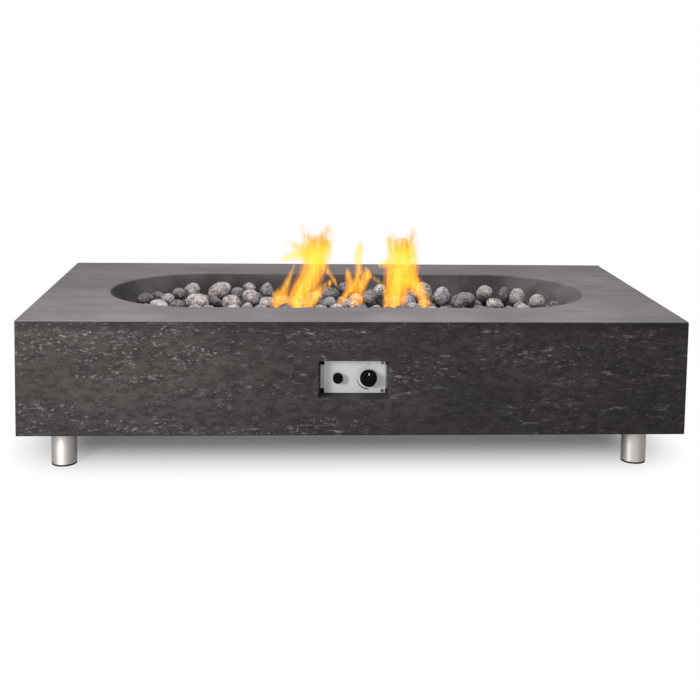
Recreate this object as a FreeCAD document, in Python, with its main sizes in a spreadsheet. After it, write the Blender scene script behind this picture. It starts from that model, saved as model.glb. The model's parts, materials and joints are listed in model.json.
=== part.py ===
import FreeCAD, Part
import Sketcher
import math
import os
import random
import re

# A low rectangular gas fire pit table: a hollow cast-concrete casing with an oval fire bowl
# in its top, a linear gas burner under a bed of lava stones, a recessed control panel in the
# front wall, and four round steel legs.
# Sizes are millimetres. The origin is on the floor under the middle of the table, +X to the
# right as seen from the controls, +Y to the back, +Z up.

Vector = FreeCAD.Vector
doc = FreeCAD.newDocument("fire_pit_table")
sheet = doc.addObject("Spreadsheet::Sheet", "sizes")

SIZES = {
    # casing
    "table_length": 1500,
    "table_width": 750,
    "body_height": 260,
    "leg_height": 90,
    "edge_round": 3,
    "wall": 34,
    "top_thickness": 34,
    # fire bowl, an oval with round ends
    "bowl_length": 1200,
    "bowl_width": 456,
    "bowl_depth": 80,
    "bowl_slope": 60,
    "bowl_shell": 30,
    "bowl_shell_spread": 10,
    "rim_round": 6,
    # legs
    "leg_inset": 89,
    "leg_diameter": 57,
    "leg_wall": 2,
    "pad_thickness": 4,
    "pad_plug": 10,
    "boss_side": 118,
    "boss_recess": 20,
    "flange_side": 104,
    "flange_thickness": 5,
    "flange_corner": 8,
    "leg_bolt_spacing": 76,
    "leg_bolt": 8,
    "leg_bolt_length": 28,
    "leg_bolt_flats": 13,
    "leg_bolt_head": 5.3,
    "leg_insert": 12,
    "leg_insert_depth": 26,
    # burner pan, which drops into the hole in the bowl's floor
    "pan_length": 1000,
    "pan_width": 256,
    "pan_depth": 50,
    "pan_sheet": 1.5,
    "pan_lip": 25,
    "pan_gap": 3,
    "drain_hole": 8,
    "drain_spread": 420,
    # burner
    "burner_length": 440,
    "burner_spread": 120,
    "burner_tube": 19,
    "burner_bore": 16,
    "cross_tube": 17,
    "cross_bore": 14,
    "burner_lift": 5,
    "burner_foot": 8,
    "burner_foot_spread": 340,
    "burner_cap": 3,
    "port_hole": 3,
    "port_spacing": 36,
    "port_count": 12,
    "hub_diameter": 40,
    "hub_height": 26,
    "hub_roof": 7,
    "pipe_thread": 21.3,
    "pipe_bore": 16,
    "nipple_length": 43,
    "nipple_drop": 24,
    "mixer_diameter": 30,
    "mixer_length": 56,
    "mixer_throat": 12,
    "mixer_window": 8,
    "mixer_window_height": 20,
    "mixer_window_rise": 14,
    "locknut_flats": 30,
    "locknut_height": 6,
    "elbow_side": 22,
    "hose_thread": 14,
    "hose_bore": 8,
    "hose_diameter": 12,
    "hose_nut_flats": 20,
    "hose_nut_length": 20,
    "orifice": 3,
    # spark electrode and thermocouple, beside the burner
    "spark_across": -60,
    "spark_back": -36,
    "probe_across": 60,
    "probe_hole": 8.6,
    "probe_collar": 8.4,
    "ceramic_diameter": 7,
    "ceramic_length": 34,
    "probe_diameter": 6,
    "probe_length": 28,
    "clip_width": 14,
    "clip_sheet": 1.5,
    # lava stones
    "stone_large": 54,
    "stone_medium": 46,
    "stone_small": 38,
    "stone_gap": 0.3,
    "stone_count": 340,
    "fill_height": 317,
    # control panel: the window, narrower inside, and the plate in it; the controls sit a little lower
    "control_level": 214,
    "panel_level": 216,
    "panel_across": -1.5,
    "window_across": -4,
    "window_width": 162,
    "window_height": 88,
    "window_draft": 6,
    "plate_width": 138,
    "plate_height": 75,
    "plate_sheet": 1.5,
    "bracket_sheet": 2,
    "bracket_length": 240,
    "bracket_height": 54,
    "bracket_back_width": 132,
    "bracket_back_height": 71,
    "plate_screw_across": 60.5,
    "plate_screw_rise": 32,
    "plate_screw": 4,
    "plate_screw_head": 8,
    "screw_head_height": 2.4,
    "hook_rise": 22,
    "hook_height": 10,
    "anchor_across": 108,
    "anchor_rise": 17,
    "anchor_diameter": 8,
    "anchor_depth": 22,
    "anchor_screw": 5,
    "anchor_screw_length": 20,
    # shield behind the panel
    "shield_width": 194,
    "shield_base": 150,
    "shield_top": 268,
    "shield_back": 262,
    "shield_sheet": 1,
    "shield_flange": 23,
    "lead_across": 84,
    "lead_level": 204,
    # gas valve, its stem and its knob
    "valve_across": 29,
    "valve_block": 34,
    "valve_length": 40,
    "valve_bore": 16,
    "valve_neck": 22,
    "valve_flange": 52,
    "valve_flange_height": 18,
    "valve_flange_sheet": 3,
    "valve_screw": 4,
    "valve_screw_across": 21,
    "valve_screw_length": 9,
    "countersink": 1.8,
    "plug_diameter": 15.8,
    "plug_length": 16,
    "stem_diameter": 8,
    "knob_diameter": 38.6,
    "knob_length": 16,
    "knob_gap": 4.8,
    "knob_skirt": 5,
    "grip_diameter": 34,
    "flute_count": 18,
    "inlet_thread": 15.88,
    # push-button igniter
    "igniter_across": -40,
    "button_diameter": 22.8,
    "button_length": 8.2,
    "button_proud": 14.5,
    "barrel_diameter": 20,
    "barrel_bore": 15,
    "barrel_length": 58.5,
    "neck_diameter": 17,
    "neck_bore": 13.4,
}
for row, (alias, number) in enumerate(SIZES.items(), start=1):
    sheet.set(f"A{row}", alias)
    sheet.set(f"B{row}", str(number))
    sheet.setAlias(f"B{row}", alias)
doc.recompute()

# Levels that several pieces share, as expressions of the sheet's sizes.
TOP = "(leg_height + body_height)"
LEDGE = f"({TOP} - bowl_depth)"
PAN_BASE = f"({LEDGE} - pan_depth)"
PAN_FLOOR = f"({PAN_BASE} + pan_sheet)"
BURNER_AXIS = f"({PAN_FLOOR} + burner_lift + burner_tube / 2)"
NIPPLE_BASE = f"({PAN_BASE} - nipple_drop)"
MIXER_BASE = f"({NIPPLE_BASE} + 12 - mixer_length)"
FLANGE_TOP = "(leg_height + boss_recess)"
FLANGE_BASE = f"({FLANGE_TOP} - flange_thickness)"
LEG_ACROSS = "(table_length / 2 - leg_inset)"
LEG_BACK = "(table_width / 2 - leg_inset)"
# Distances towards the front of the table, which is the way an XZ plane's sketch faces.
WALL_INSIDE = "(table_width / 2 - wall)"
BRACKET_BACK = f"({WALL_INSIDE} - bracket_sheet)"
PLATE_FACE = f"({WALL_INSIDE} + plate_sheet)"
KNOB_BACK = f"({PLATE_FACE} + knob_gap)"
SIDES = (-1, 1)
LEGS = [(f"{depth}_{hand}", across, back)
        for depth, back in (("front", -1), ("back", 1))
        for hand, across in (("left", -1), ("right", 1))]

kept = []


def size(expression):
    """The value of an expression of the sheet's sizes."""
    return float(sheet.evalExpression(str(expression)))


def tie(item, setting, expression):
    """Bind one setting of an object to an expression of the sheet's sizes."""
    linked = re.sub(r"[a-z_]+", lambda word: "sizes." + word[0] if word[0] in SIZES else word[0],
                    str(expression))
    item.setExpression(setting, linked)


def place(item, at, turn=FreeCAD.Rotation()):
    item.Placement = FreeCAD.Placement(Vector(), turn)
    for axis, where in zip("xyz", at):
        tie(item, f"Placement.Base.{axis}", where)
    return item


def keep(item, label):
    """Name a finished sub-part and put it on the list that is written out."""
    item.Label = label
    kept.append(item)
    return item


# Sketches and features of a body


def rectangle(width, height):
    def draw(sketch):
        x, y = size(width) / 2, size(height) / 2
        first = sketch.GeometryCount
        corners = [Vector(-x, -y), Vector(x, -y), Vector(x, y), Vector(-x, y)]
        for start, end in zip(corners, corners[1:] + corners[:1]):
            sketch.addGeometry(Part.LineSegment(start, end))
        for side in range(4):
            sketch.addConstraint(Sketcher.Constraint("Coincident", first + side, 2, first + (side + 1) % 4, 1))
            flat = "Horizontal" if side % 2 == 0 else "Vertical"
            sketch.addConstraint(Sketcher.Constraint(flat, first + side))
        sketch.addConstraint(Sketcher.Constraint("Symmetric", first, 1, first + 2, 1, -1, 1))
        dimension(sketch, "DistanceX", (first, 1, first, 2), width)
        dimension(sketch, "DistanceY", (first + 1, 1, first + 1, 2), height)
    return draw


def circle(diameter):
    def draw(sketch):
        ring = sketch.addGeometry(Part.Circle(Vector(), Vector(0, 0, 1), size(diameter) / 2))
        sketch.addConstraint(Sketcher.Constraint("Coincident", ring, 3, -1, 1))
        dimension(sketch, "Diameter", (ring,), diameter)
    return draw


def oval(length, width):
    """Two straight sides joined by half circles."""
    def draw(sketch):
        radius = size(width) / 2
        reach = size(length) / 2 - radius
        first = sketch.GeometryCount
        quarter = math.pi / 2
        sketch.addGeometry(Part.LineSegment(Vector(-reach, radius), Vector(reach, radius)))
        right = Part.Circle(Vector(reach, 0), Vector(0, 0, 1), radius)
        sketch.addGeometry(Part.ArcOfCircle(right, -quarter, quarter))
        sketch.addGeometry(Part.LineSegment(Vector(-reach, -radius), Vector(reach, -radius)))
        left = Part.Circle(Vector(-reach, 0), Vector(0, 0, 1), radius)
        sketch.addGeometry(Part.ArcOfCircle(left, quarter, 3 * quarter))
        upper, right_end, lower, left_end = range(first, first + 4)
        for line, line_point, arc, arc_point in (
                (upper, 2, right_end, 2), (upper, 1, left_end, 1),
                (lower, 2, right_end, 1), (lower, 1, left_end, 2)):
            sketch.addConstraint(Sketcher.Constraint("Tangent", line, line_point, arc, arc_point))
        sketch.addConstraint(Sketcher.Constraint("Horizontal", upper))
        sketch.addConstraint(Sketcher.Constraint("Horizontal", lower))
        sketch.addConstraint(Sketcher.Constraint("Symmetric", right_end, 3, left_end, 3, -1, 1))
        dimension(sketch, "Radius", (right_end,), f"({width}) / 2")
        dimension(sketch, "DistanceX", (left_end, 3, right_end, 3), f"({length}) - ({width})")
    return draw


def dimension(sketch, kind, where, expression):
    number = sketch.addConstraint(Sketcher.Constraint(kind, *where, size(expression)))
    tie(sketch, f"Constraints[{number}]", expression)


def sketch_on(body, plane, centre, level, profiles):
    """A sketch parallel to one of the body's own planes, its origin moved to centre and level."""
    sketch = body.newObject("Sketcher::SketchObject", "profile")
    support = next(item for item in body.Origin.OriginFeatures if item.Role == plane)
    sketch.AttachmentSupport = [(support, "")]
    sketch.MapMode = "FlatFace"
    for axis, shift in zip("xyz", (*centre, level)):
        tie(sketch, f"AttachmentOffset.Base.{axis}", shift)
    for draw in profiles:
        draw(sketch)
    return sketch


def grow(body, plane, level, length, *profiles, centre=("0", "0")):
    """Add material from level along the plane's normal."""
    feature = body.newObject("PartDesign::Pad", "pad")
    feature.Profile = sketch_on(body, plane, centre, level, profiles)
    tie(feature, "Length", length)
    return feature


def cut(body, plane, level, length, *profiles, centre=("0", "0")):
    """Take material away from level along the plane's normal."""
    sketch = sketch_on(body, plane, centre, level, profiles)
    feature = body.newObject("PartDesign::Pocket", "pocket")
    feature.Profile = sketch
    feature.Reversed = True
    tie(feature, "Length", length)
    return feature


def loft(body, kind, low, low_profile, high, high_profile):
    """A ruled loft between two level profiles: PartDesign::AdditiveLoft or SubtractiveLoft."""
    lower = sketch_on(body, "XY_Plane", ("0", "0"), low, [low_profile])
    upper = sketch_on(body, "XY_Plane", ("0", "0"), high, [high_profile])
    feature = body.newObject(f"PartDesign::{kind}", "loft")
    feature.Profile = lower
    feature.Sections = [upper]
    feature.Ruled = True
    return feature


def round_edges(body, radius, chosen, kind="Fillet", setting="Radius"):
    """Round or chamfer the edges of the body's last feature that the test picks."""
    doc.recompute()
    tip = body.Tip
    names = [f"Edge{number}" for number, edge in enumerate(tip.Shape.Edges, start=1) if chosen(edge)]
    feature = body.newObject(f"PartDesign::{kind}", "rounding")
    feature.Base = (tip, names)
    tie(feature, setting, radius)
    return feature


def around(body, feature, axis, count):
    """Repeat a feature evenly about one of the body's own axes."""
    pattern = body.newObject("PartDesign::PolarPattern", "pattern")
    pattern.Originals = [feature]
    line = next(item for item in body.Origin.OriginFeatures if item.Role == axis)
    pattern.Axis = (line, [""])
    pattern.Angle = 360
    tie(pattern, "Occurrences", count)
    body.Tip = pattern
    return pattern


def level_of(edge):
    """The level of a flat edge, or None for an edge that climbs."""
    box = edge.BoundBox
    return box.ZMin if box.ZLength < 0.01 else None


def forward_of(edge, level):
    """True for an edge that lies in the upright plane this far forward."""
    box = edge.BoundBox
    return box.YLength < 0.01 and abs(box.YMin + size(level)) < 0.01


# Simple solids and what is made of them

AIMS = {
    "up": FreeCAD.Rotation(),
    "down": FreeCAD.Rotation(Vector(1, 0, 0), 180),
    "right": FreeCAD.Rotation(Vector(0, 1, 0), 90),
    "front": FreeCAD.Rotation(Vector(1, 0, 0), 90),
    "back": FreeCAD.Rotation(Vector(1, 0, 0), -90),
}
OPPOSITE = {"up": "down", "down": "up", "front": "back", "back": "front"}


def bar(diameter, length, at, aim="up"):
    """A round bar that starts at a point and runs the way it is aimed."""
    made = doc.addObject("Part::Cylinder", "bar")
    tie(made, "Radius", f"({diameter}) / 2")
    tie(made, "Height", length)
    return place(made, at, AIMS[aim])


def taper(start_diameter, end_diameter, length, at, aim="up"):
    made = doc.addObject("Part::Cone", "taper")
    tie(made, "Radius1", f"({start_diameter}) / 2")
    tie(made, "Radius2", f"({end_diameter}) / 2")
    tie(made, "Height", length)
    return place(made, at, AIMS[aim])


def hexagon(across_flats, length, at, aim="up"):
    made = doc.addObject("Part::Prism", "hexagon")
    made.Polygon = 6
    tie(made, "Circumradius", f"({across_flats}) / sqrt(3)")
    tie(made, "Height", length)
    return place(made, at, AIMS[aim])


def block(width, depth, height, at):
    """A box that stands on the point at the middle of its base."""
    x, y, z = at
    made = doc.addObject("Part::Box", "block")
    tie(made, "Length", width)
    tie(made, "Width", depth)
    tie(made, "Height", height)
    return place(made, (f"({x}) - ({width}) / 2", f"({y}) - ({depth}) / 2", z))


def joined(*solids):
    made = doc.addObject("Part::MultiFuse", "joined")
    made.Shapes = list(solids)
    return made


def without(base, *tools):
    made = doc.addObject("Part::Cut", "cut")
    made.Base = base
    made.Tool = tools[0] if len(tools) == 1 else joined(*tools)
    return made


def group(solids):
    """Separate solids of one node."""
    made = doc.addObject("Part::Compound", "group")
    made.Links = list(solids)
    return made


def shape_part(shape, label):
    made = doc.addObject("Part::Feature", label)
    made.Shape = shape
    made.Placement = FreeCAD.Placement()
    return keep(made, label)


def hex_bolt(seat, aim, across_flats, head, diameter, length):
    """A hexagon-headed bolt: its head stands on the seat, its shank runs the way it is aimed."""
    return joined(hexagon(across_flats, head, seat, OPPOSITE[aim]), bar(diameter, length, seat, aim))


def pan_screw(seat, aim, head_diameter, head, diameter, length):
    return joined(bar(head_diameter, head, seat, OPPOSITE[aim]), bar(diameter, length, seat, aim))


def bent_tube(diameter, points):
    """A round tube along straight runs joined by tangent arcs as large as the runs allow."""
    share = 0.45
    edges = []
    radii = []
    start = points[0]
    for before, corner, after in zip(points, points[1:], points[2:]):
        back = before - corner
        ahead = after - corner
        reach = share * min(back.Length, ahead.Length)
        back.normalize()
        ahead.normalize()
        half_turn = (math.pi - back.getAngle(ahead)) / 2
        radius = reach / math.tan(half_turn)
        inwards = (back + ahead).normalize()
        middle = corner + inwards * (radius / math.cos(half_turn) - radius)
        edges.append(Part.LineSegment(start, corner + back * reach).toShape())
        edges.append(Part.Arc(corner + back * reach, middle, corner + ahead * reach).toShape())
        radii.append(radius)
        start = corner + ahead * reach
    edges.append(Part.LineSegment(start, points[-1]).toShape())
    path = Part.Wire(edges)
    ring = Part.Wire(Part.makeCircle(diameter / 2, points[0], points[1] - points[0]))
    tube = path.makePipeShell([ring], True, False)
    area = math.pi * diameter ** 2 / 4
    print(f"tube {diameter:.1f}: length {path.Length:.0f}, radii {[round(radius) for radius in radii]}, "
          f"volume over section {tube.Volume / (area * path.Length):.3f}")
    return tube


def coil_spring(coil_diameter, wire, turns, start, end):
    """A coil of round wire from start to end: quarter-turn arcs through points of one helix."""
    axis = end - start
    length = axis.Length - wire
    axis.normalize()
    side = Vector(1, 0, 0)
    third = axis.cross(side)
    radius = (coil_diameter - wire) / 2

    def helix_point(quarters):
        angle = quarters * math.pi / 2
        along = wire / 2 + length * quarters / (4 * turns)
        return start + axis * along + side * (radius * math.cos(angle)) + third * (radius * math.sin(angle))

    arcs = [Part.Arc(helix_point(step), helix_point(step + 0.5), helix_point(step + 1)).toShape()
            for step in range(4 * turns)]
    path = Part.Wire(arcs)
    heading = arcs[0].tangentAt(arcs[0].FirstParameter)
    ring = Part.Wire(Part.makeCircle(wire / 2, helix_point(0), heading))
    spring = path.makePipeShell([ring], True, False)
    print(f"spring {coil_diameter}: gap between turns {length / turns - wire:.2f}")
    return spring


# Concrete casing: one casting, open below, with four bosses for the legs

casing = keep(doc.addObject("PartDesign::Body", "concrete_casing"), "concrete_casing")
grow(casing, "XY_Plane", "leg_height", "body_height", rectangle("table_length", "table_width"))
round_edges(casing, "edge_round", lambda edge: True)
cut(casing, "XY_Plane", "leg_height", "body_height - top_thickness",
    rectangle("table_length - 2 * wall", "table_width - 2 * wall"))
for _, across, back in LEGS:
    grow(casing, "XY_Plane", FLANGE_TOP, "body_height - boss_recess - top_thickness",
         rectangle("boss_side", "boss_side"),
         centre=(f"{across} * {LEG_ACROSS}", f"{back} * {LEG_BACK}"))
loft(casing, "AdditiveLoft",
     f"{LEDGE} - bowl_shell",
     oval("bowl_length - 2 * bowl_slope + 2 * bowl_shell", "bowl_width - 2 * bowl_slope + 2 * bowl_shell"),
     f"{TOP} - top_thickness",
     oval("bowl_length + bowl_shell_spread", "bowl_width + bowl_shell_spread"))
loft(casing, "SubtractiveLoft",
     LEDGE, oval("bowl_length - 2 * bowl_slope", "bowl_width - 2 * bowl_slope"),
     TOP, oval("bowl_length", "bowl_width"))
cut(casing, "XY_Plane", f"{LEDGE} - bowl_shell - 1", "bowl_shell + 2",
    oval("pan_length + 2 * pan_gap", "pan_width + 2 * pan_gap"))
round_edges(casing, "rim_round",
            lambda edge: level_of(edge) is not None and abs(level_of(edge) - size(TOP)) < 0.01
            and abs(edge.CenterOfMass.x) < size("bowl_length") / 2
            and abs(edge.CenterOfMass.y) < size("bowl_width") / 2 + 1)
window = cut(casing, "XZ_Plane", WALL_INSIDE, "wall",
             rectangle("window_width - 2 * window_draft", "window_height - 2 * window_draft"),
             centre=("window_across", "panel_level"))
tie(window, "TaperAngle", "atan(window_draft / wall)")
for _, across, back in LEGS:
    for left in SIDES:
        for near in SIDES:
            cut(casing, "XY_Plane", FLANGE_TOP, "leg_insert_depth", circle("leg_insert"),
                centre=(f"{across} * {LEG_ACROSS} + {left} * leg_bolt_spacing / 2",
                        f"{back} * {LEG_BACK} + {near} * leg_bolt_spacing / 2"))
for left in SIDES:
    for low in SIDES:
        cut(casing, "XZ_Plane", WALL_INSIDE, "anchor_depth", circle("anchor_diameter"),
            centre=(f"{left} * anchor_across", f"panel_level + {low} * anchor_rise"))

# Legs: a satin stainless tube with a bolted flange at the top and a rubber pad pushed in below

for leg, across, back in LEGS:
    stand = (f"{across} * {LEG_ACROSS}", f"{back} * {LEG_BACK}", "0")
    tube = keep(doc.addObject("PartDesign::Body", f"leg_tube_{leg}"), f"leg_tube_{leg}")
    grow(tube, "XY_Plane", "pad_thickness", f"{FLANGE_BASE} - pad_thickness",
         circle("leg_diameter"), circle("leg_diameter - 2 * leg_wall"))
    place(tube, stand)

    flange = keep(doc.addObject("PartDesign::Body", f"leg_flange_{leg}"), f"leg_flange_{leg}")
    grow(flange, "XY_Plane", FLANGE_BASE, "flange_thickness", rectangle("flange_side", "flange_side"))
    round_edges(flange, "flange_corner", lambda edge: level_of(edge) is None)
    for left in SIDES:
        for near in SIDES:
            cut(flange, "XY_Plane", FLANGE_BASE, "flange_thickness", circle("leg_bolt + 1"),
                centre=(f"{left} * leg_bolt_spacing / 2", f"{near} * leg_bolt_spacing / 2"))
    place(flange, stand)

    pad = keep(doc.addObject("PartDesign::Body", f"foot_pad_{leg}"), f"foot_pad_{leg}")
    grow(pad, "XY_Plane", "0", "pad_thickness", circle("leg_diameter"))
    grow(pad, "XY_Plane", "pad_thickness", "pad_plug", circle("leg_diameter - 2 * leg_wall"))
    place(pad, stand)

# Leg fasteners: four bolts in threaded inserts, cast into each boss
leg_bolts = []
leg_inserts = []
for _, across, back in LEGS:
    for left in SIDES:
        for near in SIDES:
            x = f"{across} * {LEG_ACROSS} + {left} * leg_bolt_spacing / 2"
            y = f"{back} * {LEG_BACK} + {near} * leg_bolt_spacing / 2"
            leg_bolts.append(hex_bolt((x, y, FLANGE_BASE), "up", "leg_bolt_flats", "leg_bolt_head",
                                      "leg_bolt", "leg_bolt_length"))
            sleeve = bar("leg_insert", "leg_insert_depth", (x, y, FLANGE_TOP))
            leg_inserts.append(without(sleeve, bar("leg_bolt", "leg_insert_depth", (x, y, FLANGE_TOP))))
keep(group(leg_bolts), "leg_bolts")
keep(group(leg_inserts), "leg_inserts")

# Burner pan: a pressed stainless tray whose lip rests on the bowl's floor

pan = keep(doc.addObject("PartDesign::Body", "burner_pan"), "burner_pan")
grow(pan, "XY_Plane", LEDGE, "pan_sheet", oval("pan_length + 2 * pan_lip", "pan_width + 2 * pan_lip"))
grow(pan, "XY_Plane", PAN_BASE, "pan_depth + pan_sheet", oval("pan_length", "pan_width"))
cut(pan, "XY_Plane", PAN_FLOOR, "pan_depth + pan_sheet",
    oval("pan_length - 2 * pan_sheet", "pan_width - 2 * pan_sheet"))
PAN_HOLES = [("0", "0", "pipe_thread + 0.8"),
             ("spark_across", "spark_back", "probe_hole"),
             ("probe_across", "spark_back", "probe_hole")]
PAN_HOLES += [(f"{left} * drain_spread", f"{near} * pan_width / 4", "drain_hole")
              for left in SIDES for near in SIDES]
for x, y, diameter in PAN_HOLES:
    cut(pan, "XY_Plane", f"{PAN_BASE} - 1", "pan_sheet + 2", circle(diameter), centre=(x, y))

# Burner: two stainless tubes on a cross tube and a hub, with gas ports along their tops

outer = [bar("hub_diameter", "hub_height", ("0", "0", PAN_FLOOR)),
         bar("cross_tube", "burner_spread", ("0", "-burner_spread / 2", BURNER_AXIS), "back")]
inner = [bar("pipe_thread", "hub_height - hub_roof", ("0", "0", PAN_FLOOR)),
         bar("cross_bore", "burner_spread", ("0", "-burner_spread / 2", BURNER_AXIS), "back")]
end_caps = []
burner_feet = []
for near in SIDES:
    row = f"{near} * burner_spread / 2"
    outer.append(bar("burner_tube", "burner_length", ("-burner_length / 2", row, BURNER_AXIS), "right"))
    inner.append(bar("burner_bore", "burner_length", ("-burner_length / 2", row, BURNER_AXIS), "right"))
    for port in range(int(size("port_count"))):
        along = f"({port} - (port_count - 1) / 2) * port_spacing"
        inner.append(bar("port_hole", "burner_tube", (along, row, BURNER_AXIS)))
    for end in ("-burner_length / 2", "burner_length / 2 - burner_cap"):
        end_caps.append(bar("burner_bore", "burner_cap", (end, row, BURNER_AXIS), "right"))
    for left in SIDES:
        foot = (f"{left} * burner_foot_spread / 2", row, PAN_FLOOR)
        burner_feet.append(bar("burner_foot", "burner_lift", foot))
keep(without(joined(*outer), *inner), "h_burner")
keep(group(end_caps), "burner_end_caps")
keep(group(burner_feet), "burner_feet")

# Feed under the pan: nipple, locknut, air mixer and the elbow with the gas orifice

nipple = bar("pipe_thread", "nipple_length", ("0", "0", NIPPLE_BASE))
keep(without(nipple, bar("pipe_bore", "nipple_length", ("0", "0", NIPPLE_BASE))), "burner_nipple")

locknut_seat = ("0", "0", f"{PAN_BASE} - locknut_height")
locknut = hexagon("locknut_flats", "locknut_height", locknut_seat)
keep(without(locknut, bar("pipe_thread", "locknut_height", locknut_seat)), "burner_locknut")

mixer_windows = [block(*plan, "mixer_window_height", ("0", "0", f"{MIXER_BASE} + mixer_window_rise"))
                 for plan in (("mixer_window", "mixer_diameter + 10"), ("mixer_diameter + 10", "mixer_window"))]
keep(without(bar("mixer_diameter", "mixer_length", ("0", "0", MIXER_BASE)),
             bar("pipe_thread", "12", ("0", "0", NIPPLE_BASE)),
             bar("mixer_throat", "mixer_length", ("0", "0", MIXER_BASE)),
             bar("hose_thread", "8", ("0", "0", MIXER_BASE)),
             *mixer_windows), "air_mixer")

ELBOW_BASE = f"({MIXER_BASE} - 8 - elbow_side)"
HOSE_LEVEL = f"({ELBOW_BASE} + elbow_side / 2)"
elbow = joined(bar("hose_thread", "16", ("0", "0", f"{MIXER_BASE} - 8")),
               hexagon("22", "8", ("0", "0", f"{MIXER_BASE} - 8")),
               block("elbow_side", "elbow_side", "elbow_side", ("0", "0", ELBOW_BASE)),
               bar("hose_thread", "16 + elbow_side / 2", ("0", "0", HOSE_LEVEL), "front"))
keep(without(elbow,
             bar("orifice", "8", ("0", "0", MIXER_BASE)),
             bar("hose_bore", "elbow_side / 2 + 6", ("0", "0", HOSE_LEVEL)),
             bar("hose_bore", "20 + elbow_side / 2", ("0", "0", HOSE_LEVEL), "front")), "orifice_elbow")

# Spark electrode and thermocouple: both stand beside the burner in clips on the pan's floor

spark = ("spark_across", "spark_back")
probe = ("probe_across", "spark_back")
keep(joined(bar("ceramic_diameter", "ceramic_length", (*spark, f"{PAN_BASE} - 16")),
            bar("probe_collar", "4", (*spark, f"{PAN_FLOOR} + 4"))), "electrode_ceramic")
shape_part(bent_tube(1.6, [Vector(size("spark_across"), size("spark_back"), size(f"{PAN_BASE} + 18")),
                           Vector(size("spark_across"), size("spark_back"), size(f"{PAN_BASE} + 27")),
                           Vector(size("spark_across"), size("spark_back") - 8, size(f"{PAN_BASE} + 29"))]),
           "electrode_rod")
keep(joined(bar("probe_diameter", "probe_length", (*probe, f"{PAN_BASE} - 10")),
            bar("probe_collar", "4", (*probe, f"{PAN_FLOOR} + 4"))), "thermocouple_probe")
probe_clips = []
for x, y in (spark, probe):
    folded = joined(block("clip_width", "20", "clip_sheet", (x, f"{y} + 3", PAN_FLOOR)),
                    block("clip_width", "clip_width", "clip_sheet", (x, y, f"{PAN_FLOOR} + 2.5")),
                    block("clip_width", "clip_sheet", "4", (x, f"{y} + (clip_width - clip_sheet) / 2", PAN_FLOOR)))
    probe_clips.append(without(folded, bar("probe_hole", "8", (x, y, f"{PAN_FLOOR} - 1"))))
keep(group(probe_clips), "probe_clips")

# Control bracket: a galvanised strap bolted inside the front wall, with a wider middle

bracket = keep(doc.addObject("PartDesign::Body", "control_bracket"), "control_bracket")
grow(bracket, "XZ_Plane", BRACKET_BACK, "bracket_sheet",
     rectangle("bracket_length", "bracket_height"), centre=("0", "panel_level"))
grow(bracket, "XZ_Plane", BRACKET_BACK, "bracket_sheet",
     rectangle("bracket_back_width", "bracket_back_height"), centre=("panel_across", "panel_level"))
BRACKET_HOLES = [("valve_across", "control_level", "stem_diameter + 6"),
                 ("igniter_across", "control_level", "barrel_diameter + 0.6")]
for side in SIDES:
    BRACKET_HOLES.append(("plate_screw_across", f"panel_level + {side} * plate_screw_rise", "plate_screw"))
    BRACKET_HOLES.append((f"valve_across + {side} * valve_screw_across", "control_level", "valve_screw"))
    BRACKET_HOLES += [(f"{left} * anchor_across", f"panel_level + {side} * anchor_rise", "anchor_screw + 0.4")
                      for left in SIDES]
for x, z, diameter in BRACKET_HOLES:
    cut(bracket, "XZ_Plane", f"{BRACKET_BACK} - 1", "bracket_sheet + 2", circle(diameter), centre=(x, z))
HOOK_ACROSS = "(panel_across - plate_width / 2 + 6)"
for side in SIDES:
    cut(bracket, "XZ_Plane", f"{BRACKET_BACK} - 1", "bracket_sheet + 2",
        rectangle("plate_sheet + 0.9", "hook_height + 1"),
        centre=(HOOK_ACROSS, f"panel_level + {side} * hook_rise"))
round_edges(bracket, "countersink", lambda edge: forward_of(edge, WALL_INSIDE)
            and abs(edge.BoundBox.XLength - size("valve_screw")) < 0.01
            and abs(edge.CenterOfMass.z - size("control_level")) < 0.01, "Chamfer", "Size")

# Control plate: brushed stainless; its left edge hooks into the bracket, its right is screwed

plate = keep(doc.addObject("PartDesign::Body", "control_plate"), "control_plate")
grow(plate, "XZ_Plane", WALL_INSIDE, "plate_sheet",
     rectangle("plate_width", "plate_height"), centre=("panel_across", "panel_level"))
for side in SIDES:
    grow(plate, "XZ_Plane", f"{WALL_INSIDE} - bracket_sheet - 2", "bracket_sheet + 2",
         rectangle("plate_sheet", "hook_height"), centre=(HOOK_ACROSS, f"panel_level + {side} * hook_rise"))
PLATE_HOLES = [("valve_across", "control_level", "stem_diameter + 4"),
               ("igniter_across", "control_level", "barrel_diameter + 0.6")]
PLATE_HOLES += [("plate_screw_across", f"panel_level + {side} * plate_screw_rise", "plate_screw + 0.6")
                for side in SIDES]
for x, z, diameter in PLATE_HOLES:
    cut(plate, "XZ_Plane", f"{WALL_INSIDE} - 1", "plate_sheet + 2", circle(diameter), centre=(x, z))

# Shield: black sheet steel round the back of the controls, which keeps the burner's heat off them.
# It is open below for the supply hose, and its two flanges are clamped under the bracket's screws.

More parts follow.
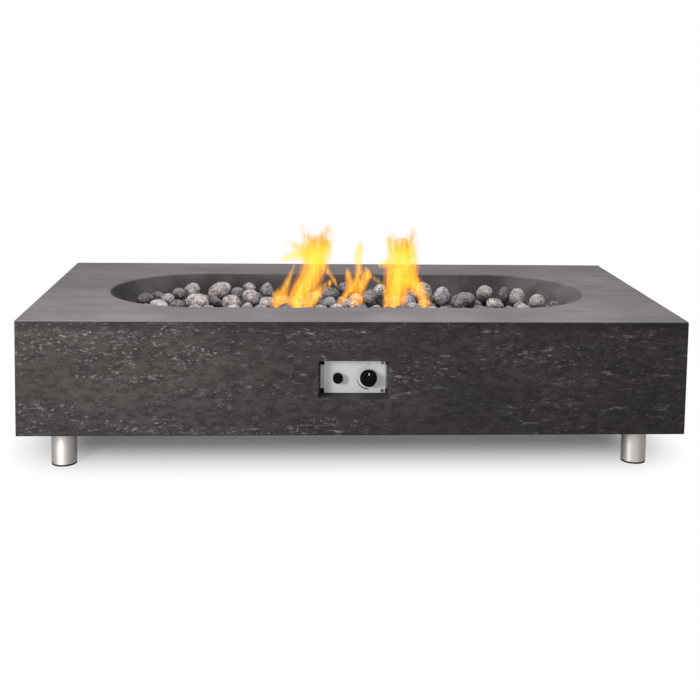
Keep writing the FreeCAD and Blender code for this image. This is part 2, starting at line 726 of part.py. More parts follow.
shield = keep(doc.addObject("PartDesign::Body", "valve_shield"), "valve_shield")
SHIELD_HEIGHT = "(shield_top - shield_base)"
SHIELD_MIDDLE = "((shield_top + shield_base) / 2)"
grow(shield, "XZ_Plane", "shield_back", "shield_sheet",
     rectangle("shield_width", SHIELD_HEIGHT), centre=("0", SHIELD_MIDDLE))
grow(shield, "XZ_Plane", "shield_back", f"{BRACKET_BACK} - shield_back",
     rectangle("shield_width", "shield_sheet"), centre=("0", "shield_top - shield_sheet / 2"))
for side in SIDES:
    grow(shield, "XZ_Plane", "shield_back", f"{BRACKET_BACK} - shield_back",
         rectangle("shield_sheet", SHIELD_HEIGHT),
         centre=(f"{side} * (shield_width - shield_sheet) / 2", SHIELD_MIDDLE))
    grow(shield, "XZ_Plane", f"{BRACKET_BACK} - shield_sheet", "shield_sheet",
         rectangle("shield_flange + shield_sheet", "bracket_height"),
         centre=(f"{side} * (shield_width + shield_flange - shield_sheet) / 2", "panel_level"))
SHIELD_HOLES = [("valve_across", "control_level", "hose_diameter + 4"),
                ("igniter_across - 5", "control_level", "8"),
                ("lead_across", "lead_level", "8")]
for x, z, diameter in SHIELD_HOLES:
    cut(shield, "XZ_Plane", "shield_back - 1", "shield_sheet + 2", circle(diameter), centre=(x, z))
for left in SIDES:
    for low in SIDES:
        cut(shield, "XZ_Plane", f"{BRACKET_BACK} - shield_sheet - 1", "shield_sheet + 2",
            circle("anchor_screw + 0.4"),
            centre=(f"{left} * anchor_across", f"panel_level + {low} * anchor_rise"))

plate_screws = []
bracket_screws = []
bracket_anchors = []
for side in SIDES:
    seat = ("plate_screw_across", f"-{PLATE_FACE}", f"panel_level + {side} * plate_screw_rise")
    cross = [block(*arms, (seat[0], f"-{PLATE_FACE} - screw_head_height", f"{seat[2]} - ({arms[2]}) / 2"))
             for arms in (("1", "screw_head_height", "4.4"), ("4.4", "screw_head_height", "1"))]
    plate_screws.append(without(pan_screw(seat, "back", "plate_screw_head", "screw_head_height",
                                          "plate_screw", "9"), *cross))
    for left in SIDES:
        x, z = f"{left} * anchor_across", f"panel_level + {side} * anchor_rise"
        bracket_screws.append(pan_screw((x, f"-{BRACKET_BACK} + shield_sheet", z), "front", "10", "3",
                                        "anchor_screw", "anchor_screw_length"))
        sleeve = bar("anchor_diameter", "anchor_depth", (x, f"-{WALL_INSIDE}", z), "front")
        bracket_anchors.append(without(sleeve, bar("anchor_screw", "anchor_screw_length",
                                                   (x, f"-{WALL_INSIDE}", z), "front")))
keep(group(plate_screws), "plate_screws")
keep(group(bracket_screws), "bracket_screws")
keep(group(bracket_anchors), "bracket_anchors")

# Gas valve: a brass block behind the bracket; plug, stem and knob turn, stem and knob push in

VALVE_BACK = f"({BRACKET_BACK} - 4 - valve_length)"
PLUG_BACK = f"({VALVE_BACK} + 7)"
valve_line = ("valve_across", "control_level")
valve = keep(doc.addObject("PartDesign::Body", "valve_body"), "valve_body")
grow(valve, "XZ_Plane", VALVE_BACK, "valve_length", rectangle("valve_block", "valve_block"),
     centre=valve_line)
grow(valve, "XZ_Plane", f"{BRACKET_BACK} - 4", "4", circle("valve_neck"), centre=valve_line)
grow(valve, "XZ_Plane", f"{BRACKET_BACK} - valve_flange_sheet", "valve_flange_sheet",
     rectangle("valve_flange", "valve_flange_height"), centre=valve_line)
cut(valve, "XZ_Plane", f"{PLUG_BACK} - 1", f"{BRACKET_BACK} - {PLUG_BACK} + 1", circle("valve_bore"),
    centre=valve_line)
cut(valve, "XZ_Plane", VALVE_BACK, f"{PLUG_BACK} - {VALVE_BACK}", circle("hose_bore"), centre=valve_line)
PORT_BACK = f"({PLUG_BACK} + plug_length / 2)"
cut(valve, "XY_Plane", "control_level - valve_block / 2", "valve_block / 2 + 1", circle("hose_bore"),
    centre=("valve_across", f"-{PORT_BACK}"))
for side in SIDES:
    cut(valve, "XZ_Plane", f"{BRACKET_BACK} - valve_flange_sheet", "valve_flange_sheet", circle("valve_screw"),
        centre=(f"valve_across + {side} * valve_screw_across", "control_level"))

valve_screws = []
for side in SIDES:
    x = f"valve_across + {side} * valve_screw_across"
    head = taper("valve_screw", "valve_screw + 2 * countersink", "countersink",
                 (x, f"-{WALL_INSIDE} + countersink", "control_level"), "front")
    shank = bar("valve_screw", "valve_screw_length", (x, f"-{WALL_INSIDE} + countersink", "control_level"), "back")
    valve_screws.append(joined(head, shank))
keep(group(valve_screws), "valve_screws")

bonnet = bar("valve_bore", "4", ("valve_across", f"-{BRACKET_BACK}", "control_level"), "back")
bonnet_bore = bar("stem_diameter + 0.2", "4", ("valve_across", f"-{BRACKET_BACK}", "control_level"), "back")
keep(without(bonnet, bonnet_bore), "valve_bonnet")

plug_start = ("valve_across", f"-{PLUG_BACK}", "control_level")
socket_start = ("valve_across", f"-{PLUG_BACK} - 3", "control_level")
gas_way = ("valve_across", f"-{PORT_BACK}", "control_level - valve_bore / 2")
keep(without(bar("plug_diameter", "plug_length", plug_start, "front"),
             bar("stem_diameter + 0.2", "plug_length", socket_start, "front"),
             bar("5", "valve_bore / 2", gas_way),
             bar("5", "4", plug_start, "front")), "valve_plug")

STEM_BACK = f"({PLUG_BACK} + plug_length - 6)"
COLLAR_BACK = f"({BRACKET_BACK} - 6.2)"
stem = bar("stem_diameter", f"{KNOB_BACK} + 12 - {STEM_BACK}",
           ("valve_across", f"-{STEM_BACK}", "control_level"), "front")
collar = bar("14", "2", ("valve_across", f"-{COLLAR_BACK}", "control_level"), "front")
keep(joined(stem, collar), "valve_stem")

shape_part(coil_spring(13.4, 1.2, 4,
                       Vector(size("valve_across"), -size(f"{PLUG_BACK} + plug_length"), size("control_level")),
                       Vector(size("valve_across"), -size(f"{COLLAR_BACK} - 0.2"), size("control_level"))),
           "stem_spring")

knob = keep(doc.addObject("PartDesign::Body", "knob"), "knob")
grow(knob, "XZ_Plane", "0", "knob_skirt", circle("knob_diameter"))
grow(knob, "XZ_Plane", "knob_skirt", "knob_length - knob_skirt", circle("grip_diameter"))
round_edges(knob, "1.2", lambda edge: forward_of(edge, "knob_length")
            or forward_of(edge, "knob_skirt") and edge.BoundBox.XLength > size("grip_diameter") + 1)
flute = cut(knob, "XZ_Plane", "knob_skirt + 1.5", "knob_length", circle("3.4"),
            centre=("grip_diameter / 2 + 1", "0"))
around(knob, flute, "Y_Axis", "flute_count")
cut(knob, "XZ_Plane", "0", "12", circle("stem_diameter"))
cut(knob, "XZ_Plane", "knob_length - 0.8", "2", rectangle("2", "6"), centre=("0", "grip_diameter / 2 - 4.5"))
place(knob, ("valve_across", f"-{KNOB_BACK}", "control_level"))

pointer = keep(doc.addObject("PartDesign::Body", "knob_pointer"), "knob_pointer")
grow(pointer, "XZ_Plane", "knob_length - 0.8", "0.8", rectangle("2", "6"), centre=("0", "grip_diameter / 2 - 4.5"))
place(pointer, ("valve_across", f"-{KNOB_BACK}", "control_level"))

# Gas fittings: the inlet hangs below the valve for the supply hose, the outlet points back

inlet_top = ("valve_across", f"-{PORT_BACK}", "control_level - valve_block / 2")
keep(without(joined(hexagon("19", "8", inlet_top, "down"), bar("inlet_thread", "22", inlet_top, "down")),
             bar("10", "22", inlet_top, "down")), "gas_inlet_fitting")
outlet_start = ("valve_across", f"-{VALVE_BACK}", "control_level")
keep(without(joined(hexagon("17", "6", outlet_start, "back"), bar("hose_thread", "20", outlet_start, "back")),
             bar("hose_bore", "20", outlet_start, "back")), "valve_outlet_fitting")

# Lines inside the casing: gas hose to the burner, ignition wire and thermocouple lead

hose_start = Vector(size("valve_across"), -size(VALVE_BACK) + 20, size("control_level"))
hose_end = Vector(0, -16 - size("elbow_side / 2"), size(HOSE_LEVEL))
shape_part(bent_tube(size("hose_diameter"),
                     [hose_start, Vector(size("valve_across"), -215, size("control_level")),
                      Vector(20, -165, 178), Vector(6, -110, 142),
                      Vector(0, -68, size(HOSE_LEVEL)), hose_end]), "burner_hose")
hose_nuts = []
for x, y, z, aim in (("valve_across", f"-{VALVE_BACK} + 10", "control_level", "back"),
                     ("0", "-7 - elbow_side / 2", HOSE_LEVEL, "front")):
    nut = hexagon("hose_nut_flats", "hose_nut_length", (x, y, z), aim)
    hose_nuts.append(without(nut, bar("hose_thread", "hose_nut_length", (x, y, z), aim)))
keep(group(hose_nuts), "hose_nuts")

# Push-button igniter: a barrel clamped in the panel, a battery, and a sprung cap to press

igniter_line = ("igniter_across", "control_level")
CAP_FACE = f"({PLATE_FACE} + button_proud)"
FLANGE_FACE = f"({PLATE_FACE} + 1.5)"
NECK_FACE = f"({CAP_FACE} - 6.5)"
BARREL_BACK = f"({PLATE_FACE} - barrel_length)"
barrel = keep(doc.addObject("PartDesign::Body", "igniter_barrel"), "igniter_barrel")
grow(barrel, "XZ_Plane", BARREL_BACK, "barrel_length", circle("barrel_diameter"), centre=igniter_line)
grow(barrel, "XZ_Plane", PLATE_FACE, "1.5", circle("barrel_diameter + 2"), centre=igniter_line)
grow(barrel, "XZ_Plane", FLANGE_FACE, f"{NECK_FACE} - {FLANGE_FACE}", circle("neck_diameter"),
     centre=igniter_line)
cut(barrel, "XZ_Plane", f"{BARREL_BACK} + 3", "barrel_length - 3", circle("barrel_bore"), centre=igniter_line)
cut(barrel, "XZ_Plane", PLATE_FACE, "button_proud", circle("neck_bore"), centre=igniter_line)

button = keep(doc.addObject("PartDesign::Body", "igniter_button"), "igniter_button")
grow(button, "XZ_Plane", f"{CAP_FACE} - button_length", "button_length", circle("button_diameter"),
     centre=igniter_line)
round_edges(button, "1", lambda edge: forward_of(edge, CAP_FACE))
cut(button, "XZ_Plane", f"{CAP_FACE} - button_length", "button_length - 2", circle("neck_diameter + 0.2"),
    centre=igniter_line)

nut_start = ("igniter_across", f"-{BRACKET_BACK}", "control_level")
keep(without(hexagon("27", "5", nut_start, "back"), bar("barrel_diameter", "5", nut_start, "back")),
     "igniter_locknut")
BATTERY_BACK = f"({BARREL_BACK} + 3)"
battery_start = ("igniter_across", f"-{BATTERY_BACK}", "control_level")
keep(joined(bar("10.4", "43.7", battery_start, "front"), bar("3.8", "44.5", battery_start, "front")),
     "igniter_battery")
shape_part(coil_spring(9, 0.8, 5,
                       Vector(size("igniter_across"), -size(f"{BATTERY_BACK} + 44.5"), size("control_level")),
                       Vector(size("igniter_across"), -size(f"{CAP_FACE} - 2.2"), size("control_level"))),
           "igniter_spring")
terminals = [block("5", "9", "0.8", (f"igniter_across + {side} * 5", f"-{BARREL_BACK} + 4.5", "control_level"))
             for side in SIDES]
keep(group(terminals), "igniter_terminals")

shape_part(bent_tube(2.4, [Vector(size("igniter_across - 5"), -size(BARREL_BACK) + 9, size("control_level") + 0.4),
                           Vector(size("igniter_across - 5"), -235, size("control_level") + 0.4),
                           Vector(-50, -190, 196), Vector(-55, -145, 184),
                           Vector(-58, -105, 176), Vector(size("spark_across"), -62, 172),
                           Vector(size("spark_across"), size("spark_back"), 178),
                           Vector(size("spark_across"), size("spark_back"), size(f"{PAN_BASE} - 16"))]),
           "ignition_wire")
tip_nut = ("valve_across + valve_block / 2", f"-{PORT_BACK}", "control_level")
keep(joined(hexagon("12", "8", tip_nut, "right"), bar("8", "14", tip_nut, "right")), "thermocouple_nut")
lead_start = Vector(size("valve_across + valve_block / 2") + 14, -size(PORT_BACK), size("control_level"))
shape_part(bent_tube(2, [lead_start, lead_start + Vector(15, 0, 0),
                         Vector(size("lead_across"), -285, size("lead_level")),
                         Vector(size("lead_across"), -240, size("lead_level")),
                         Vector(86, -190, 186), Vector(80, -140, 177), Vector(70, -100, 175),
                         Vector(62, -70, 174), Vector(size("probe_across"), size("spark_back"), 182),
                         Vector(size("probe_across"), size("spark_back"), size(f"{PAN_BASE} - 10"))]),
           "thermocouple_lead")

# Lava stones: worn ellipsoids, first those that stand out of the fill, then the fill itself,
# each stone at the lowest place found for it that is clear of the bowl, burner and other stones

# across, back, top, then width, depth and height, and tilt in degrees
SHOWN_STONES = [
    (-520, 50, 326, 42, 34, 30, 10), (-493, 100, 320, 32, 32, 26, 0), (-478, -2, 320, 44, 36, 30, -10),
    (-461, 52, 326, 34, 30, 32, 15), (-438, 92, 332, 32, 30, 32, -20), (-408, 130, 337, 46, 34, 36, 35),
    (-432, 0, 320, 32, 30, 28, 0), (-385, 22, 331, 56, 46, 42, -10), (-334, 138, 340, 60, 44, 42, 30),
    (-346, 62, 318, 34, 30, 28, 0), (-285, 110, 332, 30, 28, 30, 0), (-256, 148, 336, 32, 26, 26, 0),
    (-297, 15, 329, 46, 42, 40, 0), (-250, 68, 332, 44, 36, 44, -35), (-210, 128, 339, 32, 32, 44, -15),
    (-205, 35, 321, 42, 40, 34, 10), (-41, 110, 331, 46, 38, 30, 0), (-46, 40, 320, 34, 34, 34, 0),
    (-4, 148, 338, 34, 30, 32, 0), (60, 72, 331, 30, 30, 34, 0), (93, 138, 335, 32, 32, 40, 10),
    (211, 136, 340, 42, 38, 54, 8), (255, 98, 336, 42, 40, 50, -8), (310, 50, 331, 52, 42, 40, 0),
    (284, 2, 322, 22, 22, 24, 0), (373, 128, 335, 40, 36, 44, -12), (375, 20, 322, 32, 34, 32, 0),
    (428, 140, 328, 30, 32, 40, 0), (456, 98, 333, 42, 40, 54, 6), (499, 45, 328, 40, 38, 38, 0),
    (533, 5, 318, 28, 26, 24, 0),
]
UP = Vector(0, 0, 1)
FACINGS = [Vector(math.cos(turn * math.pi / 32), math.sin(turn * math.pi / 32), 0) for turn in range(64)]
# The bowl's and the pan's ovals all have their round ends on these two centres.
END_CENTRE = size("bowl_length - bowl_width") / 2
FLOOR_RADIUS = size("bowl_width / 2 - bowl_slope")
PAN_RADIUS = size("pan_width / 2 - pan_sheet")
SLOPE = size("bowl_slope / bowl_depth")
LIP_LEVEL = size(f"{LEDGE} + pan_sheet")
BURNER_CLEAR = size(f"{BURNER_AXIS} + burner_tube / 2") + 5
BURNER_REACH = size("burner_length") / 2 + 12
BURNER_BREADTH = size("burner_spread + burner_tube") / 2 + 8
GAP = size("stone_gap")
FILL_LEVEL = size("fill_height")
LEDGE_LEVEL = size(LEDGE)
FLOOR_LEVEL = size(PAN_FLOOR)
TRIES = 150
stones_of = {"stone_large": [], "stone_medium": [], "stone_small": []}
laid = []
chance = random.Random(11)


def reach(axes, direction):
    """How far an ellipsoid goes from its centre in a direction."""
    return math.sqrt(sum((axis * direction) ** 2 for axis in axes))


def lay_stone(widths, centre, turn):
    """One stone, its three widths tied to the size of the group that it is in."""
    longest = max(widths)
    grade = next(name for name in stones_of if longest > size(name) - 5 or name == "stone_small")
    made = doc.addObject("Part::Ellipsoid", "stone")
    for setting, across in zip(("Radius2", "Radius3", "Radius1"), widths):
        tie(made, setting, f"{grade} * {across / 2 / size(grade):.4f}")
    made.Placement = FreeCAD.Placement(centre, turn)
    stones_of[grade].append(made)
    laid.append((centre, stone_axes(widths, turn), longest / 2))


def stone_axes(widths, turn):
    corners = (Vector(1, 0, 0), Vector(0, 1, 0), UP)
    return [turn.multVec(way) * (across / 2) for way, across in zip(corners, widths)]


def settled(x, y, level, axes, longest):
    """The lowest level at or over the given one at which a stone clears the stones around it."""
    near = [other for other in laid if math.hypot(x - other[0].x, y - other[0].y) < longest + other[2]]
    for _ in range(40):
        raised = level
        for centre, other_axes, _ in near:
            apart = Vector(x, y, level) - centre
            distance = apart.Length
            way = apart / distance if distance > 0 else UP
            if distance < reach(axes, way) + reach(other_axes, way) + GAP:
                raised = level + 1.5
        if raised == level:
            return level
        level = raised
        if level > FILL_LEVEL:
            return None
    return None


def lowest_place(widths, turn):
    """The lowest clear place for a stone among those tried, or None."""
    axes = stone_axes(widths, turn)
    longest = max(widths) / 2
    tall = reach(axes, UP)
    across, back = reach(axes, Vector(1, 0, 0)), reach(axes, Vector(0, 1, 0))
    sides = [(facing, reach(axes, facing), reach(axes, facing - UP * SLOPE)) for facing in FACINGS]
    best = None
    for _ in range(TRIES):
        x = chance.uniform(-1, 1) * (END_CENTRE + FLOOR_RADIUS + 25)
        y = chance.uniform(-1, 1) * (FLOOR_RADIUS + 30)
        over_burner = abs(x) - across < BURNER_REACH and abs(y) - back < BURNER_BREADTH
        level = BURNER_CLEAR if over_burner else FLOOR_LEVEL
        for facing, flat, _ in sides:
            if x * facing.x + y * facing.y + flat + 2 * GAP > END_CENTRE * abs(facing.x) + PAN_RADIUS:
                level = LIP_LEVEL
        level += tall + GAP
        for facing, _, leaning in sides:
            beyond = x * facing.x + y * facing.y + leaning - END_CENTRE * abs(facing.x) - FLOOR_RADIUS
            level = max(level, LEDGE_LEVEL + (beyond + 2 * GAP) / SLOPE)
        if level + tall > FILL_LEVEL or best and level >= best.z:
            continue
        level = settled(x, y, level, axes, longest)
        if level and level + tall < FILL_LEVEL and (best is None or level < best.z):
            best = Vector(x, y, level)
    return best


for x, y, top, width, depth, height, tilt in SHOWN_STONES:
    turn = FreeCAD.Rotation(Vector(0, 1, 0), -tilt)
    axes = stone_axes((width, depth, height), turn)
    lay_stone((width, depth, height), Vector(x, y, top - reach(axes, UP)), turn)

misses = 0
while misses < 30 and len(laid) < size("stone_count"):
    under = len(laid) < size("stone_count") / 4
    longest = chance.uniform(46, 56) if under else chance.uniform(30, 50 - misses / 2)
    widths = (longest, longest * chance.uniform(0.82, 0.94), longest * chance.uniform(0.7, 0.85))
    turn = FreeCAD.Rotation(chance.uniform(0, 360), chance.uniform(-20, 20), chance.uniform(-20, 20))
    centre = lowest_place(widths, turn)
    if centre:
        lay_stone(widths, centre, turn)
    else:
        misses += 1

for grade, stones in stones_of.items():
    keep(group(stones), f"lava_{grade.replace('stone', 'stones')}")
print("stones", {grade: len(stones) for grade, stones in stones_of.items()})

# Test every object, then write one file for each sub-part

doc.recompute()
broken = [item.Name for item in doc.Objects if "Invalid" in item.State or "Error" in item.State]
broken += [item.Label for item in kept if item.Shape.isNull() or not item.Shape.isValid()]
if broken:
    raise RuntimeError(f"failed: {broken}")
os.makedirs("parts", exist_ok=True)
for item in kept:
    item.Shape.exportStep(f"parts/{item.Label}.step")
print(len(kept), "sub-parts written")
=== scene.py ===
import json
import math
import random

import bmesh
import bpy
import numpy as np
from mathutils import Matrix, Vector, noise


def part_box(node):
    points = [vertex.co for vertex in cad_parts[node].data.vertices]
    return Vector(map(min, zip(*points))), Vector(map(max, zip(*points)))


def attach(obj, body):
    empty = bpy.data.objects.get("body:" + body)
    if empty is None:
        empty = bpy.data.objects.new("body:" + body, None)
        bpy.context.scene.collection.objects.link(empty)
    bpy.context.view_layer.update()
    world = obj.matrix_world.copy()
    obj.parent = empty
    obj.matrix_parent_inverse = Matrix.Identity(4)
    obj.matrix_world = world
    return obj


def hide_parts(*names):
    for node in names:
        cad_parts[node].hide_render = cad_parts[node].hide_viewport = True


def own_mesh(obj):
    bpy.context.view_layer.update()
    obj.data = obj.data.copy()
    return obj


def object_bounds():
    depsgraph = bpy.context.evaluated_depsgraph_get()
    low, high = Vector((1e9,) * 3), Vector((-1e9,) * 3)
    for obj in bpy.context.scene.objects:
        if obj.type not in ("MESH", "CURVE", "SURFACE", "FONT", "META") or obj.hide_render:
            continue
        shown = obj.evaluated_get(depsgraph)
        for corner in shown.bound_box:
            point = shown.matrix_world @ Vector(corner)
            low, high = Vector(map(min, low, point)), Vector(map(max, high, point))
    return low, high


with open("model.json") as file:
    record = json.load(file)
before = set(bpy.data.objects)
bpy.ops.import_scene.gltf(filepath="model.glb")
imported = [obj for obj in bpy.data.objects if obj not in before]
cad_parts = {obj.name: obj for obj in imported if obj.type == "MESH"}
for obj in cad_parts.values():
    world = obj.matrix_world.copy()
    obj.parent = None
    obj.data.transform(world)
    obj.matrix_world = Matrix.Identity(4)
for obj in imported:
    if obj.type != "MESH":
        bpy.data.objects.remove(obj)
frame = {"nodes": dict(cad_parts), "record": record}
nodes = frame["nodes"]
cad_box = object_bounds()
TABLE_TOP = cad_box[1][2]

# Camera. It stands a little left of the table's middle and looks slightly down and to the
# right, rolled by under a degree; the shift lifts the table into the picture's middle.
eye = Vector((-0.1599, -2.8265, 0.8984))
yaw, pitch, roll = math.radians(3.241), math.radians(-5.191), math.radians(0.854)
ahead = Vector((math.sin(yaw) * math.cos(pitch), math.cos(yaw) * math.cos(pitch), math.sin(pitch)))
level_right = Vector((math.cos(yaw), -math.sin(yaw), 0))
camera_right = level_right * math.cos(roll) + level_right.cross(ahead) * math.sin(roll)
camera_up = camera_right.cross(ahead)
camera_data = bpy.data.cameras.new("table_camera")
camera_data.sensor_width = 36
camera_data.lens = 57.92
camera_data.shift_y = -0.25
camera = bpy.data.objects.new("table_camera", camera_data)
turned = Matrix((camera_right, camera_up, -ahead)).transposed().to_4x4()
camera.matrix_world = Matrix.Translation(eye) @ turned
bpy.context.scene.collection.objects.link(camera)
bpy.context.scene.camera = camera

# Studio. A pale floor that keeps the table's shadow and turns plain white further out, with a
# large soft lamp overhead and a second one at the front left, so that shade falls to the right,
# and a pale backdrop that lights the walls that the photograph doesn't show.
scene = bpy.context.scene
scene.view_settings.view_transform = "Standard"
# settings that many shader nodes share
SMOOTH = {"interpolation_type": "SMOOTHSTEP"}
COLOURS = {"data_type": "RGBA"}
TIMES = {"operation": "MULTIPLY"}
LARGEST = {"operation": "MAXIMUM"}


def add(tree, kind, inputs=(), give=None, **settings):
    """A shader node with its settings and inputs, each a value or an output that feeds it. The inputs are
    named, or in the order that the node shows them. Returns the named output, or the first that shows."""
    made = tree.nodes.new(f"ShaderNode{kind}")
    for setting, value in settings.items():
        setattr(made, setting, value)
    if isinstance(inputs, dict):
        filled = [(made.inputs[name], value) for name, value in inputs.items()]
    else:
        filled = zip([socket for socket in made.inputs if socket.enabled], inputs)
    for socket, value in filled:
        if isinstance(value, bpy.types.NodeSocket):
            tree.links.new(value, socket)
        else:
            socket.default_value = value
    return next((socket for socket in made.outputs if socket.enabled and give in (None, socket.name)), None)


def hex_colour(text):
    """A colour that is written in sRGB, in the linear values that a render works with."""
    parts = [int(text[at:at + 2], 16) / 255 for at in (0, 2, 4)]
    linear = [part / 12.92 if part <= 0.04045 else ((part + 0.055) / 1.055) ** 2.4 for part in parts]
    return (*linear, 1)


def place_mesh(name, shape, material):
    """An object at the origin from a finished bmesh."""
    data = bpy.data.meshes.new(name)
    shape.to_mesh(data)
    shape.free()
    data.materials.append(material)
    piece = bpy.data.objects.new(name, data)
    scene.collection.objects.link(piece)
    return piece


# The world is white to the camera. Metal reflects a bright soft box at the front left and a dim
# room on both sides of it, and matt surfaces get the backdrop's light from behind.
world = bpy.data.worlds.new("studio_white")
scene.world = world
world.use_nodes = True
tree = world.node_tree
tree.nodes.clear()
way = add(tree, "TexCoord", give="Generated")
softbox = add(tree, "VectorMath", (way, (-0.3, -0.94, 0.17)), operation="DOT_PRODUCT")
reflected = add(tree, "MapRange", (softbox, 0.3, 1.0, 0.15, 1.8), **SMOOTH)
backdrop = add(tree, "VectorMath", (way, (0.25, 0.95, 0.1)), operation="DOT_PRODUCT")
scattered = add(tree, "MapRange", (backdrop, 0.0, 0.9, 0.035, 1.1), **SMOOTH)
from_room = add(tree, "Mix", (add(tree, "LightPath", give="Is Glossy Ray"), scattered, reflected))
to_camera = add(tree, "LightPath", give="Is Camera Ray")
straight = add(tree, "Math", (to_camera, add(tree, "LightPath", give="Is Transmission Ray")), **LARGEST)
strength = add(tree, "Mix", (straight, from_room, 1.0))
white = add(tree, "Background", {"Color": (1, 1, 1, 1), "Strength": strength})
add(tree, "OutputWorld", {"Surface": white})

# Painted studio floor. It is matt and evenly grey, so the eye sees only the table's shade on it,
# which fades to white over the last part of its width and depth.
SHADE_WIDTH, SHADE_DEPTH = (0.62, 0.84), (0.125, 0.415)
SEEN_IN_METAL = 0.55
floor_finish = bpy.data.materials.new("pale_floor")
floor_finish.use_nodes = True
tree = floor_finish.node_tree
tree.nodes.clear()
squares = []
for axis, (inner, outer) in (("X", SHADE_WIDTH), ("Y", SHADE_DEPTH)):
    spot = add(tree, "SeparateXYZ", (add(tree, "TexCoord", give="Object"),), give=axis)
    distance = add(tree, "Math", (spot,), operation="ABSOLUTE")
    past = add(tree, "MapRange", (distance, inner, outer))
    squares.append(add(tree, "Math", (past, 2.0), operation="POWER"))
total = add(tree, "Math", squares, operation="ADD")
away = add(tree, "Math", (total, 0.5), operation="POWER")
outside = add(tree, "MapRange", (away, 0.0, 1.0, 0.15, 1.0), **SMOOTH)
lit = add(tree, "BsdfDiffuse", {"Color": (0.3, 0.3, 0.3, 1)})
bare_white = add(tree, "Emission", {"Color": (1, 1, 1, 1), "Strength": 1.0})
in_metal = add(tree, "Math", (add(tree, "LightPath", give="Is Glossy Ray"), SEEN_IN_METAL), **TIMES)
seen = add(tree, "Math", (add(tree, "LightPath", give="Is Camera Ray"), in_metal), **LARGEST)
seen = add(tree, "Math", (seen, add(tree, "LightPath", give="Is Transmission Ray")), **LARGEST)
whiten = add(tree, "Math", (outside, seen), **TIMES)
add(tree, "OutputMaterial", {"Surface": add(tree, "MixShader", (whiten, lit, bare_white))})
ground = bmesh.new()
bmesh.ops.create_circle(ground, cap_ends=True, segments=96, radius=9)
floor = place_mesh("studio_floor", ground, floor_finish)

# name, place, target, breadth in metres and power in watts
LAMPS = [("overhead_lamp", (0.15, -0.5, 1.95), (0.05, -0.1, 0.35), 1.3, 29),
         ("front_left_lamp", (-1.15, -1.45, 0.66), (-0.1, -0.2, 0.2), 0.45, 22.5)]
for name, place, target, breadth, power in LAMPS:
    lamp_data = bpy.data.lights.new(name, "AREA")
    lamp_data.shape = "DISK"
    lamp_data.size = breadth
    lamp_data.energy = power
    lamp = bpy.data.objects.new(name, lamp_data)
    aim = Vector(place) - Vector(target)
    lamp.matrix_world = Matrix.Translation(place) @ aim.to_track_quat("Z", "Y").to_matrix().to_4x4()
    scene.collection.objects.link(lamp)

# Concrete casing. One dark grey casting: its top and bowl are trowelled smooth and softly
# clouded, and its outer walls show pale chips and streaks of aggregate that lie level.


def new_finish(name):
    """A material with nothing in it yet, and its node tree."""
    material = bpy.data.materials.new(name)
    material.use_nodes = True
    material.node_tree.nodes.clear()
    return material, material.node_tree


def put_on(material, *names):
    """Give CAD nodes a finish."""
    for name in names:
        nodes[name].material_slots[0].material = material


def cloud(tree, size_mm, edges=None, reach=(0.0, 1.0), stretch=(1, 1, 1), shift=(0, 0, 0), **noise_sockets):
    """Noise with spots of a size in millimetres, finer along a stretched axis. Edges, two levels of the
    noise, turn it into patches, which go smoothly from one end of the reach to the other between them."""
    spot = add(tree, "TexCoord", give="Object")
    place = add(tree, "Mapping", {"Vector": spot, "Location": shift, "Scale": stretch})
    chosen = {"Detail": 3.0, **{name.title(): value for name, value in noise_sockets.items()}}
    spots = add(tree, "TexNoise", {"Vector": place, "Scale": 1000 / size_mm, **chosen})
    return add(tree, "MapRange", (spots, *edges, *reach), **SMOOTH) if edges else spots


def along(tree, axis, start, end, at_start=0.0, at_end=1.0):
    """A level that changes smoothly along an axis of the object, from one place to another in metres."""
    place = add(tree, "SeparateXYZ", (add(tree, "TexCoord", give="Object"),), give=axis)
    return add(tree, "MapRange", (place, start, end, at_start, at_end), **SMOOTH)


def layered(tree, base, *layers):
    """Colours laid over a base: each is an sRGB hex text, or linear, and patterns that say how strongly."""
    for colour, cover, *others in layers:
        for pattern in others:
            cover = add(tree, "Math", (cover, pattern), **TIMES)
        over = hex_colour(colour) if isinstance(colour, str) else colour
        base = add(tree, "Mix", (cover, base, over), **COLOURS)
    return base


def surface(tree, sockets, *heights):
    """End a material with its Principled shader. Heights are patterns and their depths in millimetres."""
    for height, depth_mm in heights:
        below = {"Normal": sockets["Normal"]} if "Normal" in sockets else {}
        raised = add(tree, "Bump", {"Height": height, "Distance": depth_mm / 1000, "Strength": 1.0, **below})
        sockets = {**sockets, "Normal": raised}
    add(tree, "OutputMaterial", {"Surface": add(tree, "BsdfPrincipled", sockets)})


# Cast concrete. It has next to no gloss, so the eye sees its tones: the trowel's clouds, soot and painted shade
# in the bowl, and on the walls dark cement, darker still as painted shade, with pale stone. Its sand, under 1
# mm, would be too fine to show and is drawn at 3 mm.
concrete, tree = new_finish("cast_concrete")
grain = cloud(tree, 3, roughness=0.7)
# Painted shade in the bowl: below the rim it darkens, as soot and as shade in the recess, and half as much at
# the right end, as painted light where the lamp falls on that wall.
below_rim = along(tree, "Z", TABLE_TOP - 0.0005, TABLE_TOP - 0.007)
less_painted_shade_right = along(tree, "X", 0.6, 0.42, 0.5, 1.0)
soot_and_shade = cloud(tree, 110, (0.32, 0.62), (0.68, 1.0), detail=5)
smooth_tone = layered(
    tree, hex_colour("726d6f"),
    ("837d7f", cloud(tree, 310, (0.34, 0.68), detail=4)),
    ("645f61", cloud(tree, 71, (0.35, 0.7), stretch=(0.5, 1.6, 1), detail=5, roughness=0.6), 0.5),
    ("363233", below_rim, soot_and_shade, less_painted_shade_right))
clusters = cloud(tree, 110, (0.4, 0.64), (0.1, 1.0), stretch=(0.5, 0.5, 2.4), shift=(3, 1, 0), detail=4)
streaks = cloud(tree, 15, (0.57, 0.7), stretch=(0.5, 0.5, 1.9), shift=(7, 0, 2), detail=4, roughness=0.65)
